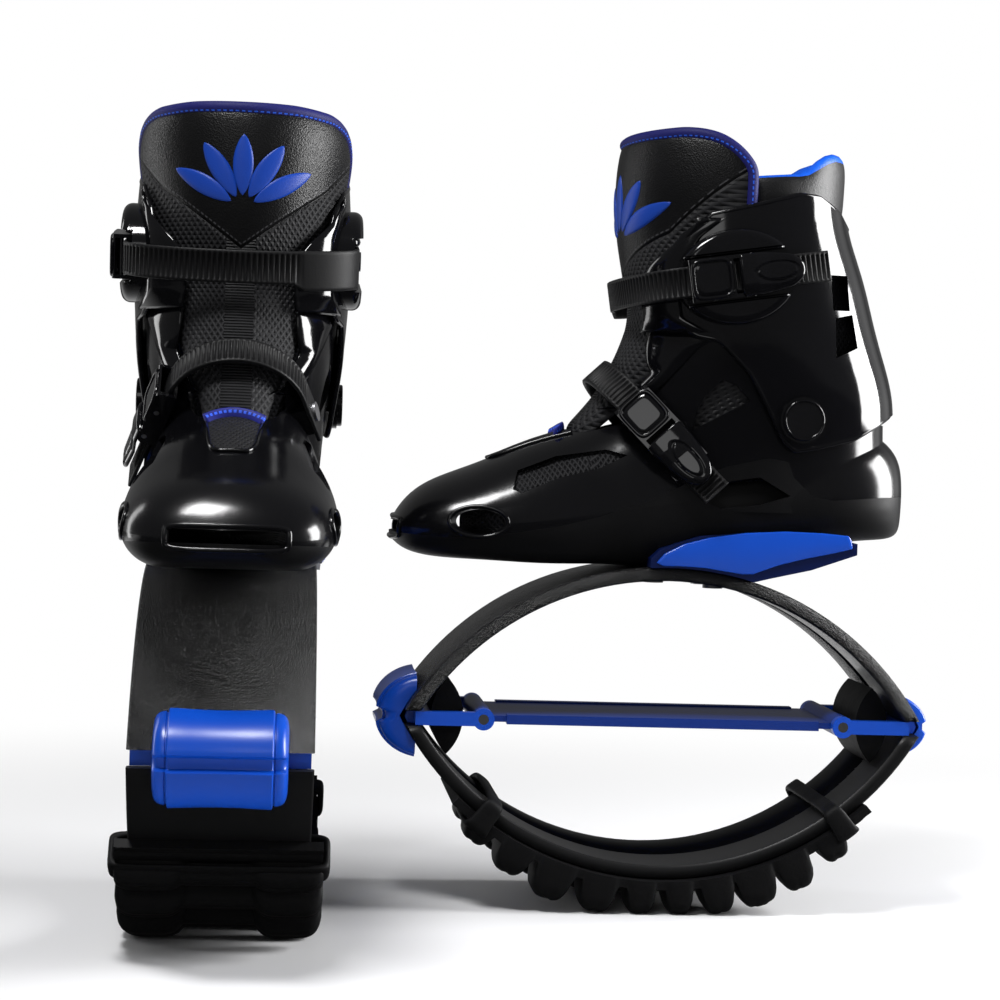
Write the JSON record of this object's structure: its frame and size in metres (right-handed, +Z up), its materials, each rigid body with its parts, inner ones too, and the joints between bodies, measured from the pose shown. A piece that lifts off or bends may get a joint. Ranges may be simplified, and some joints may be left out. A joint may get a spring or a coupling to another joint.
{
  "type": "spring boots, pair",
  "caption": "Pair of hard-shell jumping boots, each on a bowed two-leaf spring with a rubber tread, hinged cuff, padded liner and ladder-strap ratchet buckles.",
  "frame": {"origin": "centre of the pair's floor plan, on the ground under the treads", "axes": "+Z up; the left boot's toe points along -X and the right boot's toe along -Y"},
  "size_m": [0.4964, 0.3392, 0.4607],
  "materials": {
    "spring_plastic": "black, finely pebbled",
    "tread_rubber": "matt black",
    "blue_plastic": "royal blue, semi-gloss",
    "blue_elastic": "royal blue, satin",
    "steel": "plain",
    "sole_plastic": "satin black",
    "shell_plastic": "high-gloss black",
    "liner_fabric": "black mesh with bright blue lining at the collar",
    "tongue_leather": "black with blue binding",
    "strap_plastic": "matt black, ribbed"
  },
  "bodies": {
    "lower_shells": {"left_lower_arch": "spring_plastic", "left_tread": "tread_rubber", "right_lower_arch": "spring_plastic", "right_tread": "tread_rubber"},
    "left_end_links": {"left_front_cap": "blue_plastic", "left_rear_cap": "blue_plastic", "left_front_yoke": "blue_plastic", "left_rear_yoke": "blue_plastic", "left_front_bumper": "tread_rubber", "left_rear_bumper": "tread_rubber", "left_tension_band": "blue_elastic", "left_band_pins": "steel"},
    "left_boot": {"left_upper_arch": "spring_plastic", "left_saddle": "blue_plastic", "left_saddle_bolts": "steel", "left_sole_shell": "sole_plastic", "left_foot_shell": "shell_plastic", "left_ankle_rivets": "shell_plastic", "left_liner": "liner_fabric", "left_footbed": "liner_fabric", "left_tongue": "tongue_leather", "left_lower_strap": "strap_plastic", "left_lower_strap_rivet": "steel", "left_lower_buckle_frame": "shell_plastic", "left_lower_buckle_pins": "steel"},
    "left_cuff_body": {"left_cuff": "shell_plastic", "left_upper_strap": "strap_plastic", "left_upper_strap_rivet": "steel", "left_upper_buckle_frame": "shell_plastic", "left_upper_buckle_pins": "steel"},
    "left_upper_lever_body": {"left_upper_buckle_lever": "shell_plastic"},
    "left_lower_lever_body": {"left_lower_buckle_lever": "shell_plastic"},
    "right_end_links": {"right_front_cap": "blue_plastic", "right_rear_cap": "blue_plastic", "right_front_yoke": "blue_plastic", "right_rear_yoke": "blue_plastic", "right_front_bumper": "tread_rubber", "right_rear_bumper": "tread_rubber", "right_tension_band": "blue_elastic", "right_band_pins": "steel"},
    "right_boot": {"right_upper_arch": "spring_plastic", "right_saddle": "blue_plastic", "right_saddle_bolts": "steel", "right_sole_shell": "sole_plastic", "right_foot_shell": "shell_plastic", "right_ankle_rivets": "shell_plastic", "right_liner": "liner_fabric", "right_footbed": "liner_fabric", "right_tongue": "tongue_leather", "right_lower_strap": "strap_plastic", "right_lower_strap_rivet": "steel", "right_lower_buckle_frame": "shell_plastic", "right_lower_buckle_pins": "steel"},
    "right_cuff_body": {"right_cuff": "shell_plastic", "right_upper_strap": "strap_plastic", "right_upper_strap_rivet": "steel", "right_upper_buckle_frame": "shell_plastic", "right_upper_buckle_pins": "steel"},
    "right_upper_lever_body": {"right_upper_buckle_lever": "shell_plastic"},
    "right_lower_lever_body": {"right_lower_buckle_lever": "shell_plastic"}
  },
  "joints": [
    {"name": "left_bounce", "type": "slide", "parent": "lower_shells", "child": "left_boot", "axis": [0, 0, 1], "range_m": [-0.03, 0], "stiffness_N_per_m": 30000, "springref_m": 0.002, "deforming": ["left_upper_arch"]},
    {"name": "left_span", "type": "slide", "parent": "lower_shells", "child": "left_end_links", "axis": [0, 0, 1], "range_m": [-0.015, 0], "deforming": ["left_lower_arch"]},
    {"name": "left_cuff_tilt", "type": "hinge", "parent": "left_boot", "child": "left_cuff_body", "pos_m": [0.1526, 0.0928, 0.293], "axis": [0, -1, 0], "range_deg": [-3, 8], "deforming": ["left_liner", "left_tongue"]},
    {"name": "left_upper_lever", "type": "hinge", "parent": "left_cuff_body", "child": "left_upper_lever_body", "pos_m": [0.11317, 0.0239, 0.37548], "axis": [0.1564, 0, -0.9877], "range_deg": [0, 60]},
    {"name": "left_lower_lever", "type": "hinge", "parent": "left_boot", "child": "left_lower_lever_body", "pos_m": [0.07333, 0.04261, 0.27949], "axis": [-0.7278, 0, -0.6858], "range_deg": [0, 60]},
    {"name": "right_bounce", "type": "slide", "parent": "lower_shells", "child": "right_boot", "axis": [0, 0, 1], "range_m": [-0.03, 0], "stiffness_N_per_m": 30000, "springref_m": 0.002, "deforming": ["right_upper_arch"]},
    {"name": "right_span", "type": "slide", "parent": "lower_shells", "child": "right_end_links", "axis": [0, 0, 1], "range_m": [-0.015, 0], "deforming": ["right_lower_arch"]},
    {"name": "right_cuff_tilt", "type": "hinge", "parent": "right_boot", "child": "right_cuff_body", "pos_m": [-0.1761, 0.074, 0.293], "axis": [1, 0, 0], "range_deg": [-3, 8], "deforming": ["right_liner", "right_tongue"]},
    {"name": "right_upper_lever", "type": "hinge", "parent": "right_cuff_body", "child": "right_upper_lever_body", "pos_m": [-0.245, 0.03457, 0.37548], "axis": [0, -0.1564, 0.9877], "range_deg": [0, 60]},
    {"name": "right_lower_lever", "type": "hinge", "parent": "right_boot", "child": "right_lower_lever_body", "pos_m": [-0.22629, -0.00527, 0.27949], "axis": [0, 0.7278, 0.6858], "range_deg": [0, 60]}
  ],
  "couplings": [
    {"joint": "left_span", "follows": "left_bounce", "ratio": 0.5},
    {"joint": "right_span", "follows": "right_bounce", "ratio": 0.5}
  ]
}
